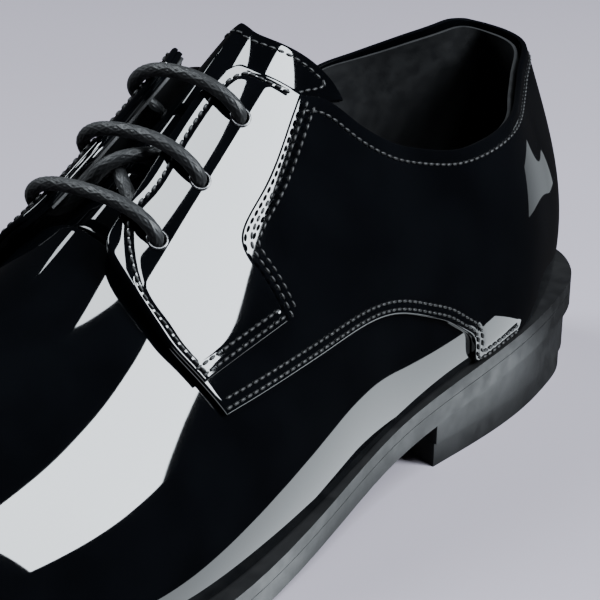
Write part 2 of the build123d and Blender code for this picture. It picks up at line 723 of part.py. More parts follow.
# --- hand over ----------------------------------------------------------------------------
boxes = [part.bounding_box() for part in pieces.values()]
low = [min(getattr(box.min, axis) for box in boxes) for axis in "XYZ"]
high = [max(getattr(box.max, axis) for box in boxes) for axis in "XYZ"]
shift = Vector(-(low[0] + high[0]) / 2, -(low[1] + high[1]) / 2, -low[2])
print("moved by", shift)
os.makedirs("parts", exist_ok=True)
for name, part in pieces.items():
    moved = part.moved(Location(shift))
    moved.label = name
    export_step(moved, "parts/" + name + ".step")
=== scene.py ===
# %% [markdown]
# # A black patent derby shoe, built over its CAD parts
#
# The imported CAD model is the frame. It fixes where everything is and what moves.
# Each soft leather part is made again here as a fine mesh that follows the same foot shape,
# so that edges can be rolled, seams can sink and the gloss can run smoothly over it.
# All sizes below are millimetres on the foot shape; `to_metres` puts them in the frame.

# %% Load the frame
import math

import bmesh
import bpy
import numpy as np
from mathutils import Matrix, Vector


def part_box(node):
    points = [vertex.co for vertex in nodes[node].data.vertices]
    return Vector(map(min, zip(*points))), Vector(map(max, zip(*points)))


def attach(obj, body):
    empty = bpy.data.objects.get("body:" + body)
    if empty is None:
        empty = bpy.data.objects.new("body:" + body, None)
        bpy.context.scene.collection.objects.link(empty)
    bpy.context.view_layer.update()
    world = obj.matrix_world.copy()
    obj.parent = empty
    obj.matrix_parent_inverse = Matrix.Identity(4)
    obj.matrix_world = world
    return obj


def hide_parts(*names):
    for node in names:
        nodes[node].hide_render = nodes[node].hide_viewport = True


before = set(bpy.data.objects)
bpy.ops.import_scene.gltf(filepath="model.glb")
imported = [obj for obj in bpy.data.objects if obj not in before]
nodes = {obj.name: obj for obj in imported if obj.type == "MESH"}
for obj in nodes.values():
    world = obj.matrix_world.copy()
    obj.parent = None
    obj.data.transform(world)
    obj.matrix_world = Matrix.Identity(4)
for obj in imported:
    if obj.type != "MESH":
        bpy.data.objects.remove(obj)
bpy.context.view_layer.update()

# The shank is a plain bar whose own numbers are known, so it gives the shift into the frame.
SHANK_START = np.array([48.0, -7.0])
shank_low = np.array(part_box("shank")[0]) * 1000
SHIFT = np.array([*(shank_low[:2] - SHANK_START), 0.0])
print("shift from foot shape to frame, mm:", SHIFT.round(3))


def to_metres(points):
    """Foot-shape millimetres to frame metres."""
    return (np.asarray(points, float) + SHIFT) / 1000


# %% [markdown]
# ## Camera
#
# A three-quarter view from the outer side and a little above, close enough to crop the toe.
# The camera is fixed first, so that every later choice can be judged from it.

# %% Camera
CAMERA_AT = (476.947, 286.321, 218.410)
CAMERA_AXES = ((-0.61063089, 0.79155712, 0.02381677),
               (-0.26920772, -0.23577086, 0.93377691),
               (0.74475306, 0.56378136, 0.35706225))
LENS, SENSOR = 125.15, 36.0

lens = bpy.data.cameras.new("camera")
lens.lens, lens.sensor_width = LENS, SENSOR
camera = bpy.data.objects.new("camera", lens)
bpy.context.scene.collection.objects.link(camera)
camera.matrix_world = Matrix.Translation(Vector(to_metres(CAMERA_AT))) @ Matrix(CAMERA_AXES).transposed().to_4x4()
bpy.context.scene.camera = camera
print("camera at", [round(v, 3) for v in camera.location])

# %% [markdown]
# ## The foot shape
#
# A shoe is made over a last. Here the last is a set of ribs from the feather line, where the
# upper meets the sole, up to the middle of the instep. Each rib is one Bezier curve, and
# cubic splines carry its four points along the foot. `s` counts stations from the toe (0) to
# the back of the heel (11). `h` runs up a rib from 0 to 1.
# A mesh could also be sculpted, but with a formula each layer is the same shape at a new distance.

# %% Foot shape numbers
FEATHER = [
    (280, -4, 4, 17.0), (272.5, 15, 19, 15.0), (255, 28, 28, 12.0), (228, 37.5, 36, 9.6),
    (198, 42, 38, 8.4), (168, 40.5, 34.5, 9.8), (138, 36.5, 29.5, 13.2), (108, 32.5, 27.5, 18.0),
    (78, 31.5, 28.5, 22.3), (48, 29.6, 28.5, 25.0), (18, 19.0, 20.5, 26.5), (2.2, 0, 0, 27.0),
]
RIBS = [
    (0, 0, 0, 0, 0, 280, 0, 17), (1.5, 10, 9, 11, 33, 272.5, 0, 33), (2.5, 15, 17, 19, 43, 255, 0, 42.5),
    (3.0, 19, 20, 22, 51, 228, 0, 51), (3.0, 22, 19, 20, 61.3, 198, 0, 61.5), (4.0, 27, 16, 14, 77, 168, 0, 78),
    (4.0, 30, 15, 10, 96, 138, 0, 98), (3.5, 32, 17, 13, 103, 112, 2, 113), (3.5, 26, 26, 23, 78, 88, 14, 108),
    (2.8, 20, 28.4, 26.0, 66, 62, 16.5, 108), (3.2, 20, 18.5, 18.5, 66, 38, 3, 108), (0, 20, 0, 0, 66, 23, 0, 108),
]
BACK = len(FEATHER) - 1
HEEL_BULGE_X = (-1.6, 8.0)
RIDGE_TURN = (168, 112, -4)


# %% Splines
def spline(rows, start=None, end=None):
    """Cubic spline through rows at 0, 1, 2 ..., for any array of positions."""
    rows = np.asarray(rows, float)
    count = len(rows)
    matrix, right = np.eye(count), np.zeros_like(rows)
    right[0] = rows[1] - rows[0] if start is None else start
    right[-1] = rows[-1] - rows[-2] if end is None else end
    for i in range(1, count - 1):
        matrix[i, i - 1:i + 2] = (1, 4, 1)
        right[i] = 3 * (rows[i + 1] - rows[i - 1])
    slopes = np.linalg.solve(matrix, right)

    def at(t):
        t = np.asarray(t, float)
        i = np.clip(t.astype(int), 0, count - 2)
        u = (t - i)[..., None]
        return ((2 * u**3 - 3 * u**2 + 1) * rows[i] + (u**3 - 2 * u**2 + u) * slopes[i]
                + (-2 * u**3 + 3 * u**2) * rows[i + 1] + (u**3 - u**2) * slopes[i + 1])

    return at


def last_side(side):
    """Splines of the four rib points on one side of the foot."""
    rows = [[], [], [], []]
    for (x, lateral, medial, z), (out, rise, high_l, high_m, high_z, top_x, top_y, top_z) in zip(FEATHER, RIBS):
        wide, high = (lateral, high_l) if side > 0 else (medial, high_m)
        ridge = RIDGE_TURN[2] * max(0, (top_x - RIDGE_TURN[0]) / RIDGE_TURN[1])
        rows[0].append((x, side * wide, z))
        rows[1].append((x, side * (wide + out), z + rise))
        rows[2].append((x, side * high, high_z))
        rows[3].append((top_x, side * top_y + ridge, top_z))
    for row in rows:
        row[0] = (FEATHER[0][0], RIDGE_TURN[2], FEATHER[0][3])
    for row, x in zip(rows[1:3], HEEL_BULGE_X):
        row[-1] = (x, 0, row[-1][2])
    tip = [(0, side * 22, -0.5), (0, side * 24, 9), (0, side * 14, 19), (0, 0, 21)]
    heel = [(0, -side * 30, 0), (0, -side * 32, 0), (0, -side * 28, 0), (0, -side * 20, 0)]
    return [spline(row, a, b) for row, a, b in zip(rows, tip, heel)]


SIDES = {1: last_side(1), -1: last_side(-1)}


# %% Points and directions on the foot shape
def smooth(x, low, high):
    t = np.clip((np.asarray(x, float) - low) / (high - low), 0, 1)
    return t * t * (3 - 2 * t)


def one_side(side, s, h):
    a, b, c, d = (row(s) for row in SIDES[side])
    h = h[..., None]
    return a * (1 - h)**3 + 3 * b * h * (1 - h)**2 + 3 * c * h**2 * (1 - h) + d * h**3


def foot(side, s, h):
    """Points of the last. side, s and h are arrays of one shape."""
    side, s, h = np.broadcast_arrays(side, np.asarray(s, float), np.asarray(h, float))
    return np.where(side[..., None] > 0, one_side(1, s, h), one_side(-1, s, h))


def unit(v):
    return v / np.maximum(np.linalg.norm(v, axis=-1, keepdims=True), 1e-12)


def slopes(side, s, h):
    """How the point moves along the foot and up the rib."""
    step = 0.002
    s = np.clip(s, step, BACK - step)
    h = np.clip(h, step, 1 - step)
    along = (foot(side, s + step, h) - foot(side, s - step, h)) / (2 * step)
    up = (foot(side, s, h + step) - foot(side, s, h - step)) / (2 * step)
    return along, up


def raw_outward(side, s, h):
    along, up = slopes(side, s, h)
    return unit(np.cross(along, up) * np.asarray(side)[..., None])


def outward(side, s, h):
    """Direction away from the foot: level at the feather line, shared by both sides at the ridge."""
    side, s, h = np.broadcast_arrays(side, np.asarray(s, float), np.asarray(h, float))
    normal = raw_outward(side, s, h)
    normal[..., 2] *= np.clip(h / 0.1, 0, 1)
    top = np.ones_like(h)
    ridge = unit(raw_outward(np.ones_like(side), s, top) + raw_outward(-np.ones_like(side), s, top))
    mix = smooth(h, 0.8, 1.0)[..., None]
    return unit(unit(normal) * (1 - mix) + ridge * mix)


def skin(side, s, h, offset):
    """Points a distance outside the last."""
    return foot(side, s, h) + np.asarray(offset)[..., None] * outward(side, s, h)


print("instep height at the lowest eyelet, mm:", foot(1, 4.96, 1.0).round(1))

# %% [markdown]
# ## Layers
#
# The upper is a stack of leathers, each a fixed distance outside the last. The quarter rides
# over the vamp in front and over the heel stiffener behind, and its lacing flap stands off
# where the tongue and lace lie under it. These distances are the CAD model's own.

# %% Layer distances
LEATHER, FACING_LEATHER, LINING, GLUE = 1.3, 1.0, 0.8, 0.15
TOE_PUFF, COUNTER, FLAP_LIFT = 0.9, 1.1, 2.3
LACE = 3.2
VAMP_IN = LINING + TOE_PUFF + 4 * GLUE
VAMP_OUT = VAMP_IN + LEATHER
TONGUE_IN, TONGUE_OUT = 0.1, 1.2
EYELET_S = (4.96, 5.45, 5.95)
EYELET_H = {1: (0.755, 0.772, 0.797), -1: (0.76, 0.775, 0.80)}


def quarter_in(s, h):
    over_wing = VAMP_OUT + 2 * GLUE
    over_counter = LINING + COUNTER + 3 * GLUE
    base = over_wing + (over_counter - over_wing) * smooth(s, 8.75, 9.6)
    return base + FLAP_LIFT * smooth(h, 0.5, 0.8) * (1 - smooth(s, 6.4, 8.2))


def quarter_out(s, h):
    return quarter_in(s, h) + LEATHER


def facing_in(s, h):
    return quarter_out(s, h) + GLUE / 2


def facing_out(s, h):
    return quarter_out(s, h) + GLUE + FACING_LEATHER


def lining_out(s, h):
    return quarter_in(s, h) - GLUE - (COUNTER + GLUE) * smooth(s, 8.75, 9.6)


def lining_in(s, h):
    return lining_out(s, h) - LINING


# %% [markdown]
# ## Panel edges
#
# A pattern cutter draws each panel by its edges. Each edge below is a smooth curve through
# a few (s, h) points, and the panel is the Coons patch between four of them.

# %% Panel edges
TOPLINE = {
    1: [(6.48, 0.73), (6.71, 0.687), (6.95, 0.625), (7.2, 0.593), (7.45, 0.592), (7.78, 0.619), (8.17, 0.66),
        (8.46, 0.69), (8.8, 0.717), (9.2, 0.738), (9.8, 0.765), (10.4, 0.80), (BACK, 0.83)],
    -1: [(6.48, 0.73), (6.8, 0.69), (7.2, 0.66), (7.7, 0.66), (8.2, 0.69), (8.6, 0.735), (8.9, 0.77),
         (9.2, 0.79), (9.6, 0.82), (10.1, 0.845), (10.5, 0.85), (BACK, 0.83)],
}
FLAP_TOP = {
    1: [(6.05, 0.891), (6.2, 0.87), (6.25, 0.849), (6.34, 0.797), (6.42, 0.756), (6.48, 0.73)],
    -1: [(6.05, 0.90), (6.2, 0.885), (6.25, 0.86), (6.34, 0.80), (6.42, 0.756), (6.48, 0.73)],
}
LACING_EDGE = {
    1: [(4.74, 0.848), (4.87, 0.857), (5.14, 0.868), (5.45, 0.882), (5.77, 0.894), (6.05, 0.891)],
    -1: [(4.74, 0.848), (4.87, 0.862), (5.14, 0.866), (5.45, 0.87), (5.77, 0.885), (6.05, 0.90)],
}
FLAP_FRONT = [(4.73, 0.459), (4.64, 0.55), (4.61, 0.62), (4.615, 0.731), (4.66, 0.816)]
QUARTER_LOW = [(4.83, 0.369), (5.17, 0.348), (5.63, 0.323), (6.15, 0.296), (6.71, 0.267), (7.1, 0.239),
               (7.38, 0.213), (7.65, 0.184), (7.88, 0.141), (8.04, 0.086), (8.15, 0.0), (8.7, 0.0),
               (9.5, 0.0), (BACK, 0.0)]
FACING_BACK = [(5.62, 0.42), (5.56, 0.52), (5.53, 0.61), (5.84, 0.643), (6.15, 0.678), (6.48, 0.73)]
FACING_LOW = [(4.73, 0.459), (5.17, 0.44), (5.62, 0.42)]
WING_BACK = [(8.8, 0.0), (8.5, 0.13), (7.9, 0.28), (6.6, 0.37), (5.45, 0.45), (4.9, 0.56),
             (4.76, 0.7), (4.75, 0.85), (4.75, 1.0)]
TONGUE_ROOT = 4.79
TONGUE_HALF = [(0, 0.33), (0.2, 0.33), (0.33, 0.27), (0.64, 0.27), (0.9, 0.32), (1, 0.32)]
PANEL_INSET = 0.006


def lacing_h(side, s):
    """Height of the lacing edge at a station."""
    stations, heights = zip(*LACING_EDGE[side])
    return float(np.interp(s, stations, heights))


def edge(points):
    """A curve through (s, h) points, run from 0 to 1."""
    curve = spline(points)
    return lambda t: curve(np.asarray(t, float) * (len(points) - 1))


def even_edge(points):
    """The same curve, run at an even pace along its stations."""
    curve = edge(points)
    steps = np.linspace(0, 1, 400)
    stations = curve(steps)[:, 0]
    return lambda t: curve(np.interp(stations[0] + t * (stations[-1] - stations[0]), stations, steps))


def coons(bottom, top, front, back):
    def at(u, v):
        a, b = u[..., None], v[..., None]
        edges = (1 - b) * bottom(u) + b * top(u) + (1 - a) * front(v) + a * back(v)
        corners = ((1 - a) * (1 - b) * bottom(0) + a * (1 - b) * bottom(1)
                   + (1 - a) * b * top(0) + a * b * top(1))
        return edges - corners
    return at


def wing_edge(h):
    points = np.array(WING_BACK)
    return np.interp(h, points[:, 1], points[:, 0])


# %% [markdown]
# ## Turning a layer into a mesh
#
# A panel is two grids of points, outside and inside, closed by its cut edge. Near the cut
# edge the outside drops along a quarter round, which is how skived and folded leather looks.
# Solidify and Bevel could do this too, but the grids give exact thickness and clean corners.
# Seams press a shallow groove into the outside, found from each vertex's distance to the seam.

# %% Panel mesh helpers
def spread(count, length, edge_radius):
    """Positions from 0 to 1 that crowd together near both ends, over an edge radius."""
    ends = np.array([0, 0.04, 0.14, 0.32, 0.6, 1.0]) * min(edge_radius / max(length, 1e-6), 0.2)
    middle = np.linspace(ends[-1], 1 - ends[-1], count)
    return np.concatenate([ends[:-1], middle, (1 - ends[:-1])[::-1]])


def grid_lengths(points):
    """Distance of each grid point from the four borders, in millimetres."""
    along = np.cumsum(np.linalg.norm(np.diff(points, axis=0), axis=-1), axis=0)
    along = np.concatenate([np.zeros((1, points.shape[1])), along])
    across = np.cumsum(np.linalg.norm(np.diff(points, axis=1), axis=-1), axis=1)
    across = np.concatenate([np.zeros((points.shape[0], 1)), across], axis=1)
    return along, along[-1:] - along, across, across[:, -1:] - across


def make_mesh(name, points, faces, shift=True):
    mesh = bpy.data.meshes.new(name)
    places = to_metres(points) if shift else np.asarray(points, float)
    mesh.from_pydata(places.tolist(), [], faces)
    mesh.update()
    return mesh


def finish_mesh(name, mesh, merge=2e-6, sharp=35):
    """Merges doubles, turns faces outwards, smooths the shading and makes the object."""
    work = bmesh.new()
    work.from_mesh(mesh)
    bmesh.ops.remove_doubles(work, verts=work.verts, dist=merge)
    bmesh.ops.recalc_face_normals(work, faces=work.faces)
    work.to_mesh(mesh)
    work.free()
    for polygon in mesh.polygons:
        polygon.use_smooth = True
    mesh.set_sharp_from_angle(angle=math.radians(sharp))
    piece = bpy.data.objects.new(name, mesh)
    bpy.context.scene.collection.objects.link(piece)
    return piece


def seam_groove(points, seams, depth, width):
    """How far the nearest seam presses the leather in."""
    if not seams:
        return np.zeros(points.shape[:-1])
    line = np.concatenate(seams)
    flat = points.reshape(-1, 3)
    nearest = np.empty(len(flat))
    for i in range(0, len(flat), 4000):
        part = flat[i:i + 4000]
        nearest[i:i + 4000] = np.sqrt(((part[:, None] - line[None])**2).sum(-1)).min(1)
    return (depth * np.exp(-(nearest / width)**2)).reshape(points.shape[:-1])


def panel(name, place, low, high, counts, roll=0.6, borders=(1, 1, 1, 1), seams=(), groove=(0.15, 0.75)):
    """A leather panel. place(u, v) gives side, s, h; borders says which edges are rolled."""
    coarse = place(*np.meshgrid(np.linspace(0, 1, 9), np.linspace(0, 1, 9), indexing="ij"))
    rough = foot(*coarse)
    size_u = np.linalg.norm(np.diff(rough, axis=0), axis=-1).sum(0).mean()
    size_v = np.linalg.norm(np.diff(rough, axis=1), axis=-1).sum(1).mean()
    u, v = np.meshgrid(spread(counts[0], size_u, roll), spread(counts[1], size_v, roll), indexing="ij")
    side, s, h = place(u, v)
    top, bottom = high(s, h), low(s, h)
    outer = skin(side, s, h, top)
    drop = np.zeros_like(s)
    for near, rolled in zip(grid_lengths(outer), borders):
        if rolled:
            inside = np.clip(1 - near / roll, 0, 1)
            drop = np.maximum(drop, roll * (1 - np.sqrt(1 - inside**2)))
    drop = np.minimum(drop, (top - bottom) * 0.85) + seam_groove(outer, list(seams), *groove)
    outer = skin(side, s, h, top - drop)
    inner = skin(side, s, h, bottom)
    return grid_shell(name, outer, inner)


def grid_shell(name, outer, inner):
    """Closes an outer and an inner grid into one body."""
    rows, columns = outer.shape[:2]
    number = np.arange(rows * columns).reshape(rows, columns)
    second = number + rows * columns
    quads = np.stack([number[:-1, :-1], number[1:, :-1], number[1:, 1:], number[:-1, 1:]], -1).reshape(-1, 4)
    lower = np.stack([second[:-1, :-1], second[:-1, 1:], second[1:, 1:], second[1:, :-1]], -1).reshape(-1, 4)
    faces = quads.tolist() + lower.tolist()
    ring = np.concatenate([number[:, 0], number[-1, 1:], number[-2::-1, -1], number[0, -2:0:-1]])
    after = np.roll(ring, -1)
    faces += np.stack([ring, after, after + rows * columns, ring + rows * columns], -1).tolist()
    points = np.concatenate([outer.reshape(-1, 3), inner.reshape(-1, 3)])
    return finish_mesh(name, make_mesh(name, points, faces))


def flat(value):
    return lambda s, h: np.full(np.shape(s), float(value))


# %% [markdown]
# ## Seam lines
#
# Every seam is an edge moved inwards by a few millimetres on the surface. The step in (s, h)
# that makes a given step in millimetres comes from the two slopes of the surface.

# %% Seam lines
def inset(side, line, distance):
    """Moves an (s, h) line sideways on the surface by millimetres; positive is to its left seen from outside."""
    s, h = line[:, 0], line[:, 1]
    sides = np.full(s.shape, side)
    points = foot(sides, s, h)
    along = unit(np.gradient(points, axis=0))
    left = np.cross(outward(sides, s, h), along) * distance
    by_s, by_h = slopes(sides, s, h)
    moved = []
    for a, b, want in zip(by_s, by_h, left):
        moved.append(np.linalg.lstsq(np.stack([a, b], 1), want, rcond=None)[0])
    return line + np.array(moved)


def seam(side, points, distance, offset, start=0.0, stop=1.0, count=260):
    """3-D line of a seam and its outward directions."""
    line = edge(points)(np.linspace(start, stop, count))
    line = inset(side, line, distance * side)
    sides = np.full(count, side)
    height = offset(line[:, 0], line[:, 1])
    return skin(sides, line[:, 0], line[:, 1], height), outward(sides, line[:, 0], line[:, 1])


print("seam helper ready")

# %% [markdown]
# ## Finishes
#
# Patent leather is leather under a clear lacquer. The base is near black and rather rough, the
# coat is smooth, and the lacquer follows the faint unevenness of the hide below it. So the
# coat takes a very soft bump, wide waves with a finer grain, and the base a stronger one.
# Constants such as coat roughness are set on the shader itself, so that they survive export.

# %% Material helpers
def new_material(name, roughness=0.5, coat=0.0, coat_roughness=0.05, sheen=0.0, ior=1.5, specular=0.5):
    material = bpy.data.materials.new(name)
    material.use_nodes = True
    tree = material.node_tree
    shader = tree.nodes["Principled BSDF"]
    shader.inputs["Roughness"].default_value = roughness
    shader.inputs["Coat Weight"].default_value = coat
    shader.inputs["Coat Roughness"].default_value = coat_roughness
    shader.inputs["Sheen Weight"].default_value = sheen
    shader.inputs["IOR"].default_value = ior
    shader.inputs["Specular IOR Level"].default_value = specular
    return material, tree, shader


def node(tree, kind, **values):
    made = tree.nodes.new(kind)
    for key, value in values.items():
        if hasattr(made, key):
            setattr(made, key, value)
        else:
            made.inputs[key.replace("_", " ")].default_value = value
    return made


def noise(tree, scale, detail=3.0, stretch=None, vector=None):
    """Noise over the piece's own coordinates, in features per metre."""
    texture = node(tree, "ShaderNodeTexNoise", Scale=scale, Detail=detail)
    source = vector
    if source is None:
        source = node(tree, "ShaderNodeTexCoord").outputs["Object"]
    if stretch:
        mapping = node(tree, "ShaderNodeMapping")
        mapping.inputs["Scale"].default_value = stretch
        tree.links.new(source, mapping.inputs["Vector"])
        source = mapping.outputs["Vector"]
    tree.links.new(source, texture.inputs["Vector"])
    return texture.outputs["Fac"]


def ramp(tree, value, low, high, start=0.35, stop=0.65):
    made = node(tree, "ShaderNodeValToRGB")
    made.color_ramp.elements[0].position, made.color_ramp.elements[1].position = start, stop
    made.color_ramp.elements[0].color = (*low, 1) if len(low) == 3 else low
    made.color_ramp.elements[1].color = (*high, 1) if len(high) == 3 else high
    tree.links.new(value, made.inputs["Fac"])
    return made.outputs["Color"]


def bump(tree, value, strength, distance, before=None):
    made = node(tree, "ShaderNodeBump", Strength=strength, Distance=distance)
    tree.links.new(value, made.inputs["Height"])
    if before:
        tree.links.new(before, made.inputs["Normal"])
    return made.outputs["Normal"]


def grey(value):
    return (value, value, value)


def patent(name, base, worn, roughness=0.6, coat_roughness=0.025, waves=0.00012):
    material, tree, shader = new_material(name, roughness, coat=1.0, coat_roughness=coat_roughness, specular=0.0)
    tone = ramp(tree, noise(tree, 55, 4), base, worn)
    tree.links.new(tone, shader.inputs["Base Color"])
    tree.links.new(ramp(tree, noise(tree, 160, 5), grey(roughness * 0.8), grey(roughness * 1.25)),
                   shader.inputs["Roughness"])
    soft = bump(tree, noise(tree, 48, 1), 0.35, waves)
    grain = bump(tree, noise(tree, 900, 2), 0.12, 0.00004, soft)
    tree.links.new(grain, shader.inputs["Normal"])
    tree.links.new(soft, shader.inputs["Coat Normal"])
    return material


def matte(name, dark, light, roughness, grain_scale=1400, grain=0.25, depth=0.0001, sheen=0.0):
    material, tree, shader = new_material(name, roughness, sheen=sheen)
    tree.links.new(ramp(tree, noise(tree, 70, 5), dark, light), shader.inputs["Base Color"])
    tree.links.new(ramp(tree, noise(tree, 240, 4), grey(roughness * 0.85), grey(min(1, roughness * 1.15))),
                   shader.inputs["Roughness"])
    tree.links.new(bump(tree, noise(tree, grain_scale, 4), grain, depth), shader.inputs["Normal"])
    return material


# %% The finishes
patent_leather = patent("patent_leather", (0.0008, 0.0010, 0.0014), (0.0015, 0.0018, 0.0024))
lining_leather = matte("lining_leather", (0.0045, 0.0048, 0.0056), (0.009, 0.0092, 0.0102), 0.6)
# Painted shade: the welt and outsole edge take a darker copy of the heel's edge finish for the shadow under the
# upper; the real edges are one satin tone.
sole_edge = matte("sole_edge", (0.006, 0.006, 0.0064), (0.011, 0.011, 0.0116), 0.42, 700, 0.12)
heel_edge = matte("heel_edge", (0.010, 0.010, 0.0105), (0.017, 0.017, 0.0178), 0.42, 700, 0.12)
thread_black = matte("thread_black", (0.004, 0.004, 0.0045), (0.011, 0.011, 0.012), 0.5, 4000, 0.5)
canvas = matte("canvas", (0.38, 0.35, 0.3), (0.5, 0.46, 0.4), 0.85)
board = matte("board", (0.24, 0.17, 0.11), (0.36, 0.26, 0.18), 0.8)
cork = matte("cork", (0.22, 0.13, 0.07), (0.45, 0.3, 0.18), 0.9, 600, 0.6, 0.0004)
print("finishes:", len(bpy.data.materials))

# %% [markdown]
# ## Vamp
#
# The vamp wraps the toes and runs back in two wings under the quarters. It is one piece of
# leather, so it is one grid from the lateral feather line over the ridge to the medial one.

# %% Vamp
def arch(start, reach, back, crowd=1):
    """Places over the arch; reach is how far down the ribs it goes, crowd packs rows to the toe."""
    def at(u, v):
        across = (reach(u) if callable(reach) else reach) * (1 - 2 * v)
        side = np.where(across >= 0, 1, -1)
        h = 1 - np.abs(across)
        return side, start + (back(h) - start) * u**crowd, h
    return at


def dress(piece, material, body, slot, *replaced):
    """Gives a finished piece its material, its body and the CAD nodes it stands for; slot is not used."""
    piece.data.materials.clear()
    piece.data.materials.append(material)
    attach(piece, body)
    if replaced:
        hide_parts(*replaced)
    print(piece.name, len(piece.data.polygons), "faces")
    return piece


vamp = panel("vamp_skin", arch(0.0, 1, wing_edge), flat(VAMP_IN), flat(VAMP_OUT), (150, 170),
             roll=0.5, borders=(0, 1, 0, 0))
dress(vamp, patent_leather, "upper", "patent_leather", "vamp")

# %% [markdown]
# ## Quarters and facings
#
# Each quarter runs from the lacing flap to the back of the heel. A second leather, the facing,
# lies over its flap and carries the eyelets. Both have rolled edges at the front, because the
# flap lies on top of the vamp and its edge is seen.

# %% Quarters, facings and linings
def quarter_patch(side):
    back = edge([(BACK, 0.0), (BACK, 0.4), TOPLINE[side][-1]])
    front = edge(QUARTER_LOW[:1] + FLAP_FRONT + LACING_EDGE[side])
    return coons(edge(QUARTER_LOW), edge(FLAP_TOP[side][:-1] + TOPLINE[side]), front, back)


def facing_patch(side):
    return coons(edge(FACING_LOW), edge(FLAP_TOP[side]), edge(FLAP_FRONT + LACING_EDGE[side]), edge(FACING_BACK))


def lining_patch(side):
    wing = [(s + 0.12, h) for s, h in WING_BACK if h <= 0.7][::-1]
    corner = (4.87, lacing_h(side, 4.87) - PANEL_INSET)
    lacing = [(s, h - PANEL_INSET) for s, h in LACING_EDGE[side][2:]]
    over = [(s, h - PANEL_INSET) for s, h in FLAP_TOP[side][1:-1] + TOPLINE[side]]
    back = edge([(BACK, 0.0), (BACK, 0.4), over[-1]])
    low = even_edge(wing + [(9.5, 0.0), (10.2, 0.0), (BACK, 0.0)])
    return coons(low, even_edge([corner] + lacing + over), edge([wing[0], corner]), back)


def on_side(side, patch):
    def at(u, v):
        spots = patch(u, v)
        return np.full(u.shape, side), np.minimum(spots[..., 0], BACK), np.maximum(spots[..., 1], 0)
    return at


# seams: edge points, distance in from the edge (the sign says to which side), where it starts and stops
def flap_seams(side):
    """One row round the free edge of the facing, two along its joins with the quarter."""
    free = FLAP_FRONT[:-1] + LACING_EDGE[side][1:] + FLAP_TOP[side][1:-1]
    low = [(FACING_LOW, 1.3, 0.05, 0.96), (FACING_LOW, 3.1, 0.03, 0.94)]
    return [(free, -1.7, 0.02, 0.98), (FACING_BACK, -1.5, 0.02, 0.97), (FACING_BACK, -3.3, 0.05, 0.97)] + low


def quarter_seams(side):
    return [(QUARTER_LOW[:12], 1.2, 0.01, 1), (QUARTER_LOW[:12], 3.0, 0.02, 1), (TOPLINE[side], -3.4, 0.01, 1)]


# %%
def seams_of(side, layer, wanted):
    """Lines of several seams on a layer, with the directions away from it."""
    return [seam(side, line, distance, layer, start, stop) for line, distance, start, stop in wanted]


def punch(piece, side, radius):
    """Cuts the eyelet holes through a piece."""
    cutter_mesh = bpy.data.meshes.new("punch")
    work = bmesh.new()
    for s, h in zip(EYELET_S, EYELET_H[side]):
        place = eyelet_frame(side, s, h)
        bmesh.ops.create_cone(work, cap_ends=True, segments=40, radius1=radius / 1000, radius2=radius / 1000,
                              depth=0.016, matrix=place)
    work.to_mesh(cutter_mesh)
    work.free()
    cutter = bpy.data.objects.new("punch", cutter_mesh)
    bpy.context.scene.collection.objects.link(cutter)
    cut = piece.modifiers.new("holes", "BOOLEAN")
    cut.operation, cut.object, cut.solver = "DIFFERENCE", cutter, "EXACT"
    shape = bpy.context.evaluated_depsgraph_get()
    result = bpy.data.meshes.new_from_object(piece.evaluated_get(shape))
    piece.modifiers.remove(cut)
    piece.data = result
    bpy.data.objects.remove(cutter)


def eyelet_frame(side, s, h):
    """Matrix with +Z out of the facing at an eyelet, in metres."""
    spot = (np.array([side]), np.array([s]), np.array([h]))
    centre = to_metres(skin(*spot, facing_out(spot[1], spot[2])))[0]
    normal = Vector(outward(*spot)[0])
    return Matrix.Translation(Vector(centre)) @ normal.to_track_quat("Z", "Y").to_matrix().to_4x4()


HOLE = 2.03
stitched = []
for side, word in ((1, "lateral"), (-1, "medial")):
    low_seams = seams_of(side, quarter_out, quarter_seams(side))
    stitched += [(side, points, away) for points, away in low_seams]
    quarter = panel("quarter_skin_" + word, on_side(side, quarter_patch(side)), quarter_in, quarter_out, (300, 100),
                    roll=0.7, borders=(1, 0, 1, 1), seams=[points for points, _ in low_seams])
    punch(quarter, side, HOLE)
    dress(quarter, patent_leather, "upper", "patent_leather", "quarter_" + word)

    seams = seams_of(side, facing_out, flap_seams(side))
    stitched += [(side, points, away) for points, away in seams]
    facing = panel("facing_skin_" + word, on_side(side, facing_patch(side)), facing_in, facing_out, (120, 190),
                   roll=0.7, borders=(1, 1, 1, 1), seams=[points for points, _ in seams])
    punch(facing, side, HOLE)
    dress(facing, patent_leather, "upper", "patent_leather", "facing_" + word)

    lining = panel("quarter_lining_skin_" + word, on_side(side, lining_patch(side)), lining_in, lining_out, (120, 60),
                   roll=0.4, borders=(1, 0, 0, 1))
    punch(lining, side, HOLE)
    dress(lining, lining_leather, "upper", "lining_leather", "quarter_lining_" + word)

vamp_lining = panel("vamp_lining_skin", arch(0.0, 1, lambda h: wing_edge(h) - 0.06), flat(0.05), flat(LINING),
                    (80, 100), roll=0.3)
dress(vamp_lining, lining_leather, "upper", "lining_leather", "vamp_lining")

# %% [markdown]
# ## Tongue
#
# The tongue is patent leather with a matte lining, stitched together round its free edge. It
# rides on its own body, because it can be pushed down to let the foot in.

# %% Tongue
def tongue_half(u):
    places, widths = zip(*TONGUE_HALF)
    return np.interp(u, places, widths)


def tongue_edge(h):
    return 6.6 + 0.45 * smooth(1 - h, 0.05, 0.32)


tongue_place = arch(TONGUE_ROOT, tongue_half, tongue_edge)
tongue = panel("tongue_skin", tongue_place, flat(TONGUE_IN), flat(TONGUE_OUT), (110, 90), roll=0.6)
dress(tongue, patent_leather, "tongue", "tongue_leather", "tongue")
tongue_lining = panel("tongue_lining_skin", tongue_place, flat(TONGUE_IN - GLUE - LINING), flat(TONGUE_IN - GLUE),
                      (60, 50), roll=0.3)
dress(tongue_lining, lining_leather, "tongue", "lining_leather", "tongue_lining")


